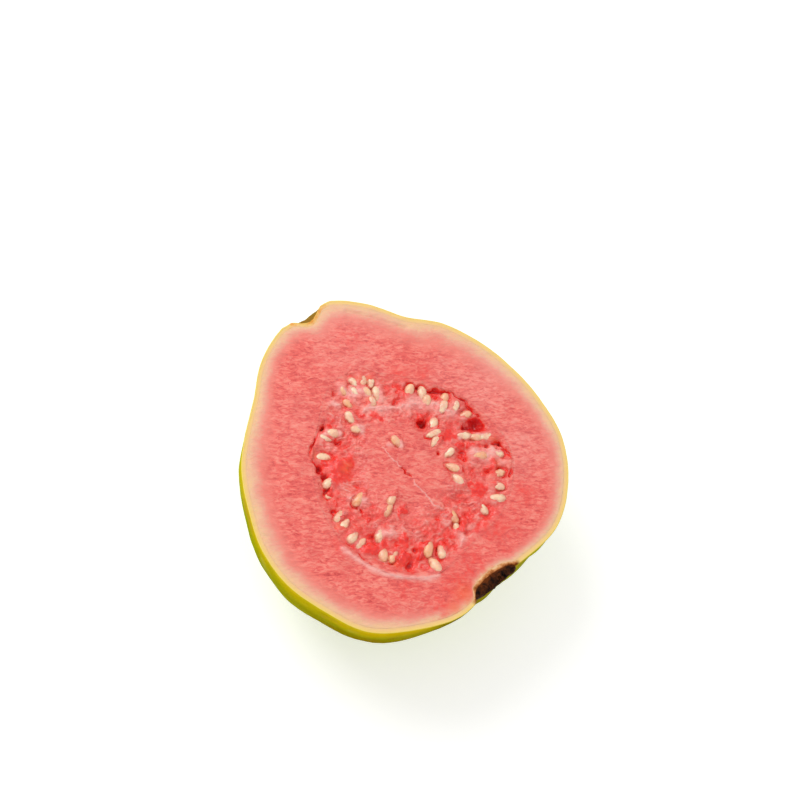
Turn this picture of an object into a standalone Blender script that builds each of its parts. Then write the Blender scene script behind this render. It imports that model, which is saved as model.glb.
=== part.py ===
"""A guava cut in half from stem to blossom end, lying on its rounded back.

The cut face looks up (+Z), the stem end is at +Y and the dried calyx at -Y. The origin
lies on the surface that the fruit rests on, under the middle of the cut face.
Lengths are in metres, and bearings run from +X towards +Y.
"""
import math
import random

import bmesh
import bpy
from mathutils import Matrix, Vector

MM = 0.001
FULL_TURN = 2 * math.pi
POLES_ON_Y = Matrix.Rotation(-math.pi / 2, 4, "X")

# Outline of the cut face: radius in mm about its middle, at even steps of bearing
OUTLINE_RADII = (37.7, 36.6, 36.0, 34.9, 37.9, 40.5, 39.4, 37.0, 33.8, 33.4, 34.4, 35.3,
                 37.5, 39.4, 40.5, 42.4, 41.8, 41.4, 39.5, 39.9, 42.6, 42.8, 41.9, 39.5)

# Swelling of the skin below the cut, as a share of the radius
BELLY = 0.15

# Layers and clearances
REST_DEPTH = 37.2 * MM
RIND_THICKNESS = 1.2 * MM
GAP = 0.3 * MM
FRUIT_SEGMENTS = 44
FRUIT_RINGS = 28

# Stem scar, a shallow dimple in the +Y end
STEM_SCAR = Vector((5.6, 39.4, 0.0)) * MM
STEM_SCAR_DEPTH = 3.1 * MM
STEM_SCAR_WIDTH = 3.4 * MM

# Blossom end: a shallow basin that puckers into furrows round the calyx
CALYX_MIDDLE = Vector((1.0, -38.0, 0.0)) * MM
CALYX_RADIUS = 6.6 * MM
CALYX_DEPTH = 1.9 * MM
CALYX_RIM = 1.1 * MM
CALYX_MOUND = 0.6 * MM
CALYX_NOTCH = 0.28
CALYX_LOBES = 5
CALYX_SIDES = 6 * CALYX_LOBES
CALYX_RINGS = 12
POCKET_MOUTH = 6.0 * MM
BASIN_DEPTH = 0.9 * MM
BASIN_WIDTH = 8.0 * MM
FURROWS = 11
FURROW_HEIGHT = 0.8 * MM
FURROW_REACH = 14.0 * MM

# Seed pulp: its outline about its own middle, radius in mm at even steps of bearing
PULP_MIDDLE = Vector((2.0, -4.0, 0.0)) * MM
PULP_RADII = (22.4, 20.6, 21.6, 25.4, 22.0, 21.8, 23.2, 25.8, 27.6, 24.2, 25.0, 25.2)
PULP_DEPTH = 20.0 * MM
PULP_SEGMENTS = 46
PULP_RINGS = 20
PULP_VALLEY_DEPTH = 0.5 * MM
CORE_SHARE = 0.42
CORE_SLOPE = 0.25

# Recesses in the cut pulp, in mm on the face: x, y, width, depth
RECESSES = (
    (11.5, 1.4, 1.8, 2.2), (20.9, -5.8, 2.6, 1.8), (22.2, -12.6, 1.9, 1.6),
    (14.4, -10.4, 2.4, 1.2), (-10.6, 4.1, 4.5, 1.0), (-14.6, 8.4, 2.2, 1.8),
    (-8.5, 14.2, 2.0, 1.3), (-17.2, 1.0, 2.2, 1.2), (-16.8, -15.1, 3.4, 1.3),
    (-12.0, -22.6, 3.8, 1.4), (-4.3, -12.8, 3.0, 1.0), (19.4, 4.8, 2.4, 1.2),
    (1.5, -24.6, 2.6, 0.9), (18.3, -16.6, 2.4, 1.0),
)

# Rows of seeds, in mm on the face: first x and y, last x and y, seeds in the row
SEED_ROWS = (
    (4.5, 19.4, 8.4, 17.6, 3), (1.0, 18.0, 7.2, 13.4, 4), (0.3, 14.9, 4.6, 12.2, 2),
    (13.4, 9.2, 15.8, 7.0, 2), (19.2, 2.9, 20.8, -3.0, 3), (15.4, 4.6, 17.2, 1.6, 2),
    (12.8, -0.6, 10.6, -4.2, 3), (17.6, -6.9, 21.9, -10.0, 3), (17.6, -12.8, 20.8, -14.8, 2),
    (11.5, -8.3, 9.2, -14.0, 3), (18.2, -18.7, 13.7, -23.4, 3), (9.7, -23.0, 8.2, -21.4, 1),
    (3.2, -20.4, 2.0, -22.8, 2), (-6.3, -22.9, -4.5, -25.0, 2), (-7.9, -27.0, -8.9, -26.0, 1),
    (-14.0, -19.6, -12.0, -20.0, 1), (-18.4, -4.8, -18.8, -13.0, 4), (-13.4, -14.0, -15.4, -17.4, 2),
    (-12.5, -4.6, -11.0, -5.0, 1), (-6.0, -8.9, -8.4, -10.4, 2), (-15.5, 2.9, -16.8, 0.2, 2),
    (-13.0, 9.3, -12.0, 8.6, 1), (-9.6, 11.8, -6.7, 11.2, 2), (-1.9, 12.0, -2.0, 8.7, 2),
    (3.4, 0.8, 4.0, 0.0, 1),
)
SEED_LENGTH = 4.0 * MM
SEED_WIDTH = 2.6 * MM
SEED_HEIGHT = 2.1 * MM
SEED_TAPER = 0.38
SEED_LIFT = 0.25 * MM
SEED_SIDES = 7
SEED_RINGS = 5
SEED_EDGE_MARGIN = 2.4 * MM
SEED_JITTER = 0.3 * MM
SEED_TURN = 0.5
RANDOM_SEED = 7

MATERIALS = {
    "rind": ((0.36, 0.42, 0.06), 0.42),
    "flesh": ((0.90, 0.26, 0.20), 0.50),
    "seed_pulp": ((0.86, 0.16, 0.11), 0.35),
    "calyx": ((0.035, 0.014, 0.009), 0.80),
}


def clear_scene():
    for old in list(bpy.data.objects):
        bpy.data.objects.remove(old, do_unlink=True)


def new_collection(name):
    collection = bpy.data.collections.new(name)
    bpy.context.scene.collection.children.link(collection)
    return collection


def make_material(name):
    colour, roughness = MATERIALS[name]
    material = bpy.data.materials.new(name)
    material.use_nodes = True
    shader = material.node_tree.nodes["Principled BSDF"]
    shader.inputs["Base Color"].default_value = (*colour, 1.0)
    shader.inputs["Roughness"].default_value = roughness
    shader.inputs["Metallic"].default_value = 0.0
    return material


def link_mesh(name, bm, collection, parent, sharp_angle=40.0):
    """Turn a bmesh into a smooth-shaded object under the parent."""
    bmesh.ops.recalc_face_normals(bm, faces=bm.faces)
    mesh = bpy.data.meshes.new(name)
    bm.to_mesh(mesh)
    bm.free()
    mesh.shade_smooth()
    mesh.set_sharp_from_angle(angle=math.radians(sharp_angle))
    body = bpy.data.objects.new(name, mesh)
    body.parent = parent
    collection.objects.link(body)
    return body


def link_cutter(name, bm, collection, parent):
    cutter = link_mesh(name, bm, collection, parent)
    cutter.hide_render = True
    cutter.display_type = "WIRE"
    return cutter


def cut_away(body, cutter):
    cut = body.modifiers.new("cut " + cutter.name, "BOOLEAN")
    cut.operation = "DIFFERENCE"
    cut.solver = "EXACT"
    cut.object = cutter


def smooth_ring_value(values, turn):
    """Value at a share of the turn, on a smooth closed curve through evenly spaced values."""
    place = (turn % 1.0) * len(values)
    first = int(place)
    t = place - first
    a, b, c, d = (values[(first + step) % len(values)] for step in (-1, 0, 1, 2))
    return b + 0.5 * t * (c - a + t * (2 * a - 5 * b + 4 * c - d + t * (3 * (b - c) + d - a)))


def outline_radius(bearing):
    return smooth_ring_value(OUTLINE_RADII, bearing / FULL_TURN) * MM


def bump(distance, width):
    return math.exp(-(distance / width) ** 2)


def fruit_point(direction, inset):
    """Point of the fruit's surface in a direction, moved in by the inset.

    Round the stem to calyx axis, the radius turns from the outline's right side
    to its left side, so the cut plane meets the surface in the outline itself.
    Below the cut the fruit swells a little before it rounds in.
    """
    from_stem = math.acos(max(-1.0, min(1.0, direction.y)))
    right = outline_radius(math.pi / 2 - from_stem)
    left = outline_radius(math.pi / 2 + from_stem)
    sideways = math.hypot(direction.x, direction.z)
    right_share = 0.5 + 0.5 * direction.x / max(sideways, 1e-6)
    radius = left + (right - left) * right_share
    below = max(0.0, -direction.z)
    swelling = 4 * below ** 2 * (1 - below ** 2) * (1 - below) * (1 - direction.y ** 6)
    radius *= 1 + BELLY * swelling
    point = direction * radius
    radius -= STEM_SCAR_DEPTH * bump((point - STEM_SCAR).length, STEM_SCAR_WIDTH)
    from_calyx = point - CALYX_MIDDLE
    reach = math.hypot(from_calyx.x, from_calyx.z)
    if direction.y < 0:
        radius -= BASIN_DEPTH * bump(reach, BASIN_WIDTH)
        round_calyx = math.atan2(from_calyx.x, -from_calyx.z)
        fade = bump(reach, FURROW_REACH) * (1 - bump(reach, CALYX_RADIUS))
        radius += FURROW_HEIGHT * fade * math.cos(FURROWS * round_calyx)
    return direction * (radius - inset)


def slice_off(bm, point, outward):
    """Cut away what lies beyond a plane and close the cut."""
    geometry = bm.verts[:] + bm.edges[:] + bm.faces[:]
    bmesh.ops.bisect_plane(bm, geom=geometry, dist=1e-7, plane_co=point,
                           plane_no=outward, clear_outer=True)
    open_edges = [edge for edge in bm.edges if edge.is_boundary]
    bmesh.ops.holes_fill(bm, edges=open_edges, sides=0)


def fruit_body(inset):
    """The whole fruit moved in by the inset, with the flat spot that it rests on."""
    bm = bmesh.new()
    bmesh.ops.create_uvsphere(bm, u_segments=FRUIT_SEGMENTS, v_segments=FRUIT_RINGS,
                              radius=1.0, matrix=POLES_ON_Y)
    for vert in bm.verts:
        vert.co = fruit_point(vert.co.normalized(), inset)
    slice_off(bm, Vector((0, 0, inset - REST_DEPTH)), Vector((0, 0, -1)))
    return bm


def half_body(inset):
    bm = fruit_body(inset)
    slice_off(bm, Vector((0, 0, 0)), Vector((0, 0, 1)))
    return bm


def calyx_lobe(x, z):
    """How far a direction round the calyx points along a sepal: 1 on its tip, 0 between two."""
    return abs(math.cos(0.5 * CALYX_LOBES * math.atan2(x, -z)))


def calyx_body():
    """The crown of sepals: a shallow cup whose rim is drawn out into lobes."""
    bm = bmesh.new()
    bmesh.ops.create_uvsphere(bm, u_segments=CALYX_SIDES, v_segments=CALYX_RINGS,
                              radius=1.0, matrix=POLES_ON_Y)
    for vert in bm.verts:
        spread = math.hypot(vert.co.x, vert.co.z)
        lobe = calyx_lobe(vert.co.x, vert.co.z)
        radius = CALYX_RADIUS * (1 - CALYX_NOTCH * (1 - lobe))
        height = CALYX_DEPTH * vert.co.y
        if vert.co.y < 0:
            # The outer side is a low mound inside a rim that is highest on the lobes and curls back
            height = -CALYX_RIM * (0.3 + 0.7 * lobe) * spread ** 3 * (1.2 - spread ** 6)
            height -= CALYX_MOUND * (1 - spread) ** 2
        vert.co = CALYX_MIDDLE + Vector((vert.co.x * radius, height, vert.co.z * radius))
    slice_off(bm, Vector((0, 0, 0)), Vector((0, 0, 1)))
    return bm


def calyx_pocket():
    """A bowl with the calyx's lobes, a gap larger than it all round and open outward."""
    bm = bmesh.new()
    bmesh.ops.create_uvsphere(bm, u_segments=CALYX_SIDES, v_segments=CALYX_RINGS,
                              radius=1.0, matrix=POLES_ON_Y)
    for vert in bm.verts:
        lobe = calyx_lobe(vert.co.x, vert.co.z)
        across = CALYX_RADIUS * (1 - CALYX_NOTCH * (1 - lobe)) + GAP
        deep = vert.co.y * (CALYX_DEPTH + GAP) if vert.co.y > 0 else vert.co.y * POCKET_MOUTH
        vert.co = CALYX_MIDDLE + Vector((vert.co.x * across, deep, vert.co.z * across))
    return bm


def pulp_radius(bearing):
    return smooth_ring_value(PULP_RADII, bearing / FULL_TURN) * MM


def ease(share):
    share = max(0.0, min(1.0, share))
    return share * share * (3 - 2 * share)


def pulp_relief(x, y):
    """Height of the cut pulp at a place on the face: the flush core, the ring, the recesses."""
    from_middle = Vector((x, y, 0.0)) - PULP_MIDDLE
    share = from_middle.length / pulp_radius(math.atan2(from_middle.y, from_middle.x))
    height = -PULP_VALLEY_DEPTH * ease((share - CORE_SHARE) / CORE_SLOPE)
    for place_x, place_y, width, depth in RECESSES:
        distance = math.hypot(x - place_x * MM, y - place_y * MM)
        height -= depth * MM * bump(distance, width * MM)
    return height


def pulp_body():
    """The seed pulp: a sphere whose upper half is pressed down into the relief of the cut."""
    bm = bmesh.new()
    bmesh.ops.create_uvsphere(bm, u_segments=PULP_SEGMENTS, v_segments=PULP_RINGS, radius=1.0)
    for vert in bm.verts:
        bearing = math.atan2(vert.co.y, vert.co.x)
        radius = pulp_radius(bearing) - GAP
        outward = Vector((math.cos(bearing), math.sin(bearing), 0.0))
        if vert.co.z > 1e-6:
            share = math.acos(min(1.0, vert.co.z)) / (math.pi / 2)
            place = PULP_MIDDLE + outward * radius * share
            place.z = pulp_relief(place.x, place.y)
        else:
            place = PULP_MIDDLE + outward * radius * math.hypot(vert.co.x, vert.co.y)
            place.z = (PULP_DEPTH - GAP - PULP_VALLEY_DEPTH) * vert.co.z - PULP_VALLEY_DEPTH
        vert.co = place
    return bm


def pulp_cavity():
    """The hollow in the flesh that the seed pulp fills, domed above the cut."""
    bm = bmesh.new()
    bmesh.ops.create_uvsphere(bm, u_segments=PULP_SEGMENTS, v_segments=PULP_RINGS, radius=1.0)
    for vert in bm.verts:
        radius = pulp_radius(math.atan2(vert.co.y, vert.co.x))
        vert.co = PULP_MIDDLE + Vector((vert.co.x * radius, vert.co.y * radius,
                                        vert.co.z * PULP_DEPTH))
    return bm


def seed_places():
    """Place and heading of each seed: along the rows, jittered, its point to the core."""
    draw = random.Random(RANDOM_SEED)
    for first_x, first_y, last_x, last_y, count in SEED_ROWS:
        for step in range(count):
            share = step / max(1, count - 1)
            x = (first_x + (last_x - first_x) * share) * MM + draw.uniform(-1, 1) * SEED_JITTER
            y = (first_y + (last_y - first_y) * share) * MM + draw.uniform(-1, 1) * SEED_JITTER
            from_middle = Vector((x, y, 0.0)) - PULP_MIDDLE
            bearing = math.atan2(from_middle.y, from_middle.x)
            furthest = pulp_radius(bearing) - SEED_EDGE_MARGIN
            if from_middle.length > furthest:
                from_middle *= furthest / from_middle.length
            place = PULP_MIDDLE + from_middle
            place.z = pulp_relief(place.x, place.y) + SEED_LIFT
            heading = bearing + draw.uniform(-1, 1) * SEED_TURN
            yield place, heading, draw.uniform(0.88, 1.08)


def seed_body():
    """One seed along X: a flattened drop, blunt at +X and drawn to a point at -X."""
    bm = bmesh.new()
    bmesh.ops.create_uvsphere(bm, u_segments=SEED_SIDES, v_segments=SEED_RINGS, radius=0.5,
                              matrix=Matrix.Rotation(math.pi / 2, 4, "Y"))
    for vert in bm.verts:
        narrow = 1 - SEED_TAPER * (0.5 - vert.co.x)
        vert.co = Vector((vert.co.x * SEED_LENGTH, vert.co.y * SEED_WIDTH * narrow,
                          vert.co.z * SEED_HEIGHT * narrow))
    return bm


def fuse_seeds(pulp, parent):
    """Join every seed to the pulp in one closed body."""
    loose = new_collection("seeds")
    first = link_mesh("seed", seed_body(), loose, parent)
    for place, heading, size in seed_places():
        seed = bpy.data.objects.new("seed", first.data)
        seed.parent = parent
        seed.location = place
        seed.rotation_euler = (0.0, 0.0, heading)
        seed.scale = (size, size, size)
        loose.objects.link(seed)
    bpy.data.objects.remove(first, do_unlink=True)
    join = pulp.modifiers.new("fuse the seeds", "BOOLEAN")
    join.operation = "UNION"
    join.solver = "EXACT"
    join.operand_type = "COLLECTION"
    join.collection = loose
    bpy.context.view_layer.update()
    evaluated = pulp.evaluated_get(bpy.context.evaluated_depsgraph_get())
    fused = bpy.data.meshes.new_from_object(evaluated)
    pulp.modifiers.clear()
    pulp.data = fused
    for seed in list(loose.objects):
        bpy.data.objects.remove(seed, do_unlink=True)
    bpy.data.collections.remove(loose)


def main():
    clear_scene()
    guava = new_collection("guava half")
    cutters = new_collection("cutters")
    face = bpy.data.objects.new("cut face", None)
    face.location = (0.0, 0.0, REST_DEPTH)
    guava.objects.link(face)

    rind = link_mesh("rind", half_body(0.0), guava, face)
    flesh = link_mesh("flesh", half_body(RIND_THICKNESS + GAP), guava, face)
    pulp = link_mesh("seed_pulp", pulp_body(), guava, face)
    calyx = link_mesh("calyx", calyx_body(), guava, face)

    inside = link_cutter("inside of the rind", fruit_body(RIND_THICKNESS), cutters, face)
    cavity = link_cutter("seed cavity", pulp_cavity(), cutters, face)
    pocket = link_cutter("calyx pocket", calyx_pocket(), cutters, face)
    cut_away(rind, inside)
    cut_away(rind, pocket)
    cut_away(flesh, cavity)
    cut_away(flesh, pocket)
    fuse_seeds(pulp, face)

    for body in (rind, flesh, pulp, calyx):
        body.data.materials.clear()
        body.data.materials.append(make_material(body.name))


main()
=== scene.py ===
"""Looks of the guava half: the cut fruit lying on its rounded back, seen from above.

Lengths are in metres and bearings run from +X towards +Y. Shapes are made about the
middle of the cut face, which looks up, and are then lifted to the face's height.
"""
import math
import random

import bmesh
import bpy
import numpy as np
from mathutils import Matrix, Vector, noise


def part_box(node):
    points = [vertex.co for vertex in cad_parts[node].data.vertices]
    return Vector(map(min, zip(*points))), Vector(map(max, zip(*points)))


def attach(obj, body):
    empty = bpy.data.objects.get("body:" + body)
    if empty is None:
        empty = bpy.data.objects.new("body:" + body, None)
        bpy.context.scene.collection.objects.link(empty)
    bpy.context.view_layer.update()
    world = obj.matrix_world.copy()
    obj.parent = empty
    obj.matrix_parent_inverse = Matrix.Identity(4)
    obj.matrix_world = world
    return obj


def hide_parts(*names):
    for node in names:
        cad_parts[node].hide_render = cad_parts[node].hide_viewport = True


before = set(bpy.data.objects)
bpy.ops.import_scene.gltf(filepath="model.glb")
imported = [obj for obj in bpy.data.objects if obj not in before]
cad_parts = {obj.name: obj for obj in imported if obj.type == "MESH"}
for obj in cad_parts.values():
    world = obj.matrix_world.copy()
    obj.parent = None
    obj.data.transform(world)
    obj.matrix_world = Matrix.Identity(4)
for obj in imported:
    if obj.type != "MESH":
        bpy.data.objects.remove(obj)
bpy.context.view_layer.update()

MM = 0.001
FULL_TURN = 2 * math.pi
RIND_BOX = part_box("rind")
REST_DEPTH = RIND_BOX[1].z - RIND_BOX[0].z
FACE_MIDDLE = Vector((0.0, 0.0, RIND_BOX[1].z))

# Outline of the cut face: radius in mm about its middle, at even steps of bearing
OUTLINE_RADII = (37.7, 36.6, 36.0, 34.9, 37.9, 40.5, 39.4, 37.0, 33.8, 33.4, 34.4, 35.3,
                 37.5, 39.4, 40.5, 42.4, 41.8, 41.4, 39.5, 39.9, 42.6, 42.8, 41.9, 39.5)
# How far the skin swells out below the cut, as a share of its radius
BELLY = 0.15
RIND_THICKNESS = 1.2 * MM
OVERLAP = 0.06 * MM

# Stem scar and blossom end
STEM_SCAR = np.array((5.6, 39.4, 0.0)) * MM
STEM_SCAR_DEPTH = 3.1 * MM
STEM_SCAR_WIDTH = 3.4 * MM
CALYX_MIDDLE = np.array((1.0, -38.0, 0.0)) * MM
CALYX_RADIUS = 6.6 * MM
CALYX_NOTCH = 0.29
CALYX_LOBES = 5
CALYX_DEPTH = 1.9 * MM
CALYX_MOUND = 0.9 * MM
CALYX_TUCK = 1.5 * MM
CALYX_TUCK_WIDTH = 12.0 * MM
SEAT_GAP = 0.2 * MM
SEAT_DEPTH = 0.85 * CALYX_DEPTH
SEAT_SLOPE = 1.0 * MM
BASIN_DEPTH = 0.9 * MM
BASIN_WIDTH = 8.0 * MM
FURROWS = 11
FURROW_HEIGHT = 0.8 * MM
FURROW_REACH = 14.0 * MM

# Seed pulp: its outline about its own middle, radius in mm at even steps of bearing
PULP_MIDDLE = np.array((2.0, -4.0, 0.0)) * MM
PULP_RADII = (22.4, 20.6, 21.6, 25.4, 22.0, 21.8, 23.2, 25.8, 27.6, 24.2, 25.0, 25.2)
PULP_DEPTH = 20.0 * MM
PULP_VALLEY_DEPTH = 0.5 * MM
CORE_SHARE = 0.42
CORE_SLOPE = 0.25

# Recesses in the cut pulp, in mm on the face: x, y, width, depth
RECESSES = (
    (11.5, 1.4, 1.8, 2.2), (20.9, -5.8, 2.6, 1.8), (22.2, -12.6, 1.9, 1.6),
    (14.4, -10.4, 2.4, 1.2), (-10.6, 4.1, 4.5, 1.0), (-14.6, 8.4, 2.2, 1.8),
    (-8.5, 14.2, 2.0, 1.3), (-17.2, 1.0, 2.2, 1.2), (-16.8, -15.1, 3.4, 1.3),
    (-12.0, -22.6, 3.8, 1.4), (-4.3, -12.8, 3.0, 1.0), (19.4, 4.8, 2.4, 1.2),
    (1.5, -24.6, 2.6, 0.9), (18.3, -16.6, 2.4, 1.0),
)

# Crevices torn open along the pulp's edge and in the cut, in mm on the face: depth, width, points
CREVICES = (
    (1.2, 0.30, ((15.0, 9.8), (17.1, 7.4), (19.6, 5.3), (21.5, 3.3), (22.5, 1.0), (22.9, -2.0),
                 (23.2, -5.0))),
    (1.0, 0.30, ((23.1, -12.6), (23.3, -15.4), (22.8, -17.8), (21.6, -19.5), (19.6, -21.4))),
    (0.9, 0.30, ((-8.0, 14.4), (-12.0, 12.7), (-14.8, 10.8), (-15.8, 9.0), (-15.3, 7.0))),
    (1.3, 0.42, ((-15.3, 5.4), (-15.6, 3.2), (-17.4, 1.4))),
    (0.6, 0.30, ((-20.4, -6.4), (-20.9, -8.4), (-20.6, -10.2))),
    (0.7, 0.26, ((-20.2, -14.6), (-20.1, -16.4), (-19.3, -18.4))),
    (0.35, 0.22, ((4.2, 21.0), (5.8, 21.2), (7.0, 20.0), (8.6, 19.5), (9.9, 17.6))),
    (0.8, 0.16, ((0.2, -4.4), (0.4, -5.6), (0.9, -7.4))),
    (0.5, 0.22, ((5.4, -21.6), (5.2, -23.6), (5.4, -25.8))),
)

# A shallow crease in the flesh near the rim, and the pale fold on the pulp's edge, partly a painted
# highlight: points in mm
SHOULDER_FOLD = ((14.0, 33.6), (17.4, 29.6), (19.1, 27.3), (22.9, 22.4))
SHOULDER_FOLD_WIDTH = 0.5 * MM
SHOULDER_FOLD_DEPTH = 0.30 * MM
EDGE_FOLD = ((-22.4, -11.4), (-21.7, -14.6), (-20.4, -18.4), (-18.2, -22.2), (-15.6, -24.8),
             (-13.2, -26.8), (-11.0, -28.5), (-8.8, -29.3))
EDGE_FOLD_WIDTH = 0.62 * MM
EDGE_FOLD_RISE = 0.32 * MM
# paleness of the edge fold, partly a painted highlight
EDGE_FOLD_PALE_AND_HIGHLIGHT = 0.85

# Small dark holes, smooth red gel and amber spots in the pulp, in mm on the face: x, y, radius
HOLES = (
    (-8.5, 14.0, 0.8), (-15.3, 6.6, 0.9), (-15.3, 4.7, 0.8), (-7.8, 8.9, 0.6), (16.8, 7.6, 0.7),
    (11.6, 1.6, 0.8), (22.0, -6.2, 1.1), (19.3, -5.1, 0.8), (23.0, -13.2, 0.7), (9.8, -6.2, 0.4),
    (9.8, -10.8, 0.4), (11.8, -13.4, 0.4), (-19.2, -3.3, 0.4), (-20.6, -12.2, 0.5),
    (-13.3, -6.5, 0.6), (-5.9, -21.9, 0.8), (8.8, 9.3, 0.7), (-0.8, 19.2, 0.5), (20.3, -12.0, 0.5),
)
GELS = (
    (-11.3, 4.7, 3.9), (-6.8, 13.3, 1.6), (-17.6, -15.2, 2.4), (-12.4, -21.4, 2.6), (-16.4, 1.1, 1.6),
    (-5.9, -12.3, 1.7), (18.2, -15.6, 1.7), (11.6, -18.3, 2.2), (2.9, -24.4, 1.4), (1.1, 10.4, 1.3),
    (3.8, 8.9, 1.5), (12.3, 3.5, 1.5), (14.7, -4.5, 2.0), (-18.0, -1.8, 1.2), (-7.6, -22.8, 1.7),
    (17.6, -10.2, 1.4), (-10.0, -17.4, 1.6), (15.0, -8.4, 1.2), (-14.2, -10.0, 1.2),
)
AMBERS = (
    (0.2, 15.6, 1.0), (4.7, 12.7, 1.0), (6.9, 17.4, 1.1), (19.8, -17.1, 1.1), (22.2, -10.6, 1.2),
    (-15.2, -20.6, 1.1), (-19.4, -7.3, 1.1), (-13.6, 9.7, 1.0), (9.6, -13.8, 1.0), (-10.0, 3.4, 1.3),
    (-6.4, -36.4, 2.6), (-10.4, -37.4, 1.8),
)

# Pale folds of tissue between the seeds, their paleness partly membrane and partly a painted highlight,
# in mm on the face: width, points
FOLDS = (
    (1.5, ((0.9, 18.4), (3.4, 16.2), (7.4, 12.8))), (0.8, ((-5.1, 19.0), (-1.8, 16.0))),
    (1.0, ((2.5, 11.7), (6.5, 9.5), (11.3, 6.9))), (1.5, ((13.2, 6.6), (16.9, 2.9), (18.6, -0.4))),
    (0.9, ((-10.5, 12.4), (-8.0, 11.9), (-6.0, 10.8))), (1.5, ((17.2, -12.2), (21.4, -14.7))),
    (0.2, ((-0.2, 2.4), (0.0, -1.6), (0.2, -4.0))), (0.22, ((0.8, -8.4), (0.9, -13.4), (1.7, -17.4))),
    (0.9, ((1.2, -26.0), (0.2, -27.4))),
    (0.9, ((20.0, -8.4), (21.8, -9.2))), (0.9, ((-13.1, -14.0), (-11.3, -14.6))),
    (0.8, ((2.1, 1.7), (3.8, 0.4))), (0.9, ((-1.7, 8.6), (-1.5, 7.6))),
    (0.8, ((16.4, -6.6), (18.6, -7.6))), (0.8, ((-13.4, -3.4), (-11.4, -5.4))),
)

# Rows of seeds, in mm on the face: first x and y, last x and y, seeds in the row
SEED_ROWS = (
    (4.5, 19.4, 8.4, 17.6, 3), (1.0, 18.0, 7.2, 13.4, 4), (0.3, 14.9, 4.6, 12.2, 2),
    (13.4, 9.2, 15.8, 7.0, 2), (19.2, 2.9, 20.8, -3.0, 3), (15.4, 4.6, 17.2, 1.6, 2),
    (12.8, -0.6, 10.6, -4.2, 3), (17.6, -6.9, 21.9, -10.0, 3), (17.6, -12.8, 20.8, -14.8, 2),
    (11.5, -8.3, 9.2, -14.0, 3), (18.2, -18.7, 13.7, -23.4, 3), (9.7, -23.0, 8.2, -21.4, 1),
    (3.2, -20.4, 2.0, -22.8, 2), (-6.3, -22.9, -4.5, -25.0, 2), (-7.9, -27.0, -8.9, -26.0, 1),
    (-14.0, -19.6, -12.0, -20.0, 1), (-18.4, -4.8, -18.8, -13.0, 4), (-13.4, -14.0, -15.4, -17.4, 2),
    (-12.5, -4.6, -11.0, -5.0, 1), (-6.0, -8.9, -8.4, -10.4, 2), (-15.5, 2.9, -16.8, 0.2, 2),
    (-13.0, 9.3, -12.0, 8.6, 1), (-9.6, 11.8, -6.7, 11.2, 2), (-1.9, 12.0, -2.0, 8.7, 2),
    (3.4, 0.8, 4.0, 0.0, 1),
)
SEED_LENGTH = 4.0 * MM
SEED_WIDTH = 2.6 * MM
SEED_HEIGHT = 2.1 * MM
SEED_TAPER = 0.38
SEED_LIFT = 0.25 * MM
SEED_SINK = 0.30 * MM
SEED_EDGE_MARGIN = 2.4 * MM
SEED_JITTER = 0.3 * MM
SEED_TURN = 0.5
SEED_SIZES = (0.88, 1.08)
SEED_TRIMS = (0.90, 1.08)
SEED_BEND = 0.12
SEED_TILTS = (-0.35, 0.25)
SEED_UNEVEN = 0.05
SEED_UNEVEN_SIZE = 1.1 * MM
RANDOM_SEED = 7

# Width in mm of the pale zone inside the skin, at even steps of bearing on the face
PALE_WIDTHS = (4.4, 5.4, 6.2, 3.4, 3.4, 4.8, 4.6, 4.2, 3.4, 1.7, 2.5, 3.3)
NARROWEST_PALE = 1.5
FAR_FROM_RIM = 9.0

# Patches of deeper red in the flesh, in mm on the face: x, y, radius
FLUSHES = ((19.5, 11.0, 3.0), (9.0, -28.0, 8.0), (-1.0, -32.0, 6.0), (20.0, -26.0, 4.0),
           (14.0, 14.0, 3.5), (-22.5, -11.0, 3.0), (10.0, 27.0, 4.0), (-16.0, -27.0, 3.5),
           (-6.5, -32.5, 6.5), (-13.5, -35.0, 4.0), (1.0, -25.0, 7.0), (-14.0, -17.0, 4.0))
FLUSH_RED = 0.29

# Patches of lighter flesh, in mm on the face: x, y, radius, share
PALE_PATCHES = ((29.0, 0.0, 8.0, 0.28), (24.0, 8.0, 5.0, 0.18), (9.0, 27.0, 9.0, 0.17),
                (27.0, -16.0, 8.0, 0.22), (-14.0, 20.0, 7.0, 0.08))

# How finely each piece is divided
SKIN_SIDES = 480
SKIN_RINGS = 120
CUT_BAND_RINGS = 7
FLESH_SIDES = 640
FLESH_RINGS = 96
PULP_SIDES = 480
PULP_RINGS = 150
INNER_RINGS = 14
SEED_SIDES = 16
SEED_RINGS = 12
CALYX_SIDES = 240
CALYX_RINGS = 80

# Fine shape of the skin: heights, and the sizes of its bumps
SKIN_LUMPS = 0.45 * MM
SKIN_LUMP_SIZE = 12.0 * MM
SKIN_PORE_SIZE = 1.6 * MM
SKIN_MARGIN = 0.05 * MM
SCAR_RAGGED = 0.7 * MM
SCAR_RAG_SIZE = 1.9 * MM
EDGE_ROUND = 0.22 * MM
RIND_DROP = 0.02 * MM
FLESH_GAP = 0.1 * MM

# Zones of the skin, as bearings and bands in mm below the face (start, rise, end, fall): painted shade
# low on the near side and beside the calyx, and where the olive near the cut is strong
SHADED_BEARING = math.radians(235.0)
SHADED_WIDTH = math.radians(55.0)
SHADED_BAND = (2.5, 6.0, 28.0, 12.0)
WARM_WIDTH = math.radians(80.0)
# painted shade beside the calyx, just below the cut
CALYX_SIDE_SHADE_BEARING = math.radians(258.0)
CALYX_SIDE_SHADE_WIDTH = math.radians(11.0)
CALYX_SIDE_SHADE_BAND = (0.0, 1.5, 14.0, 8.0)
STEM_SIDE_OFFSET = 9.0 * MM

# Fine shape of the knife's cut
CUT_DROP = 0.10 * MM
FIBRE_HEIGHT = 0.08 * MM
FIBRE_SIZE = 0.85 * MM
FIBRE_STRETCH = (0.34, 1.0, 1.0)
WAVE_HEIGHT = 0.03 * MM
WAVE_SIZE = 5.0 * MM

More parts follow.
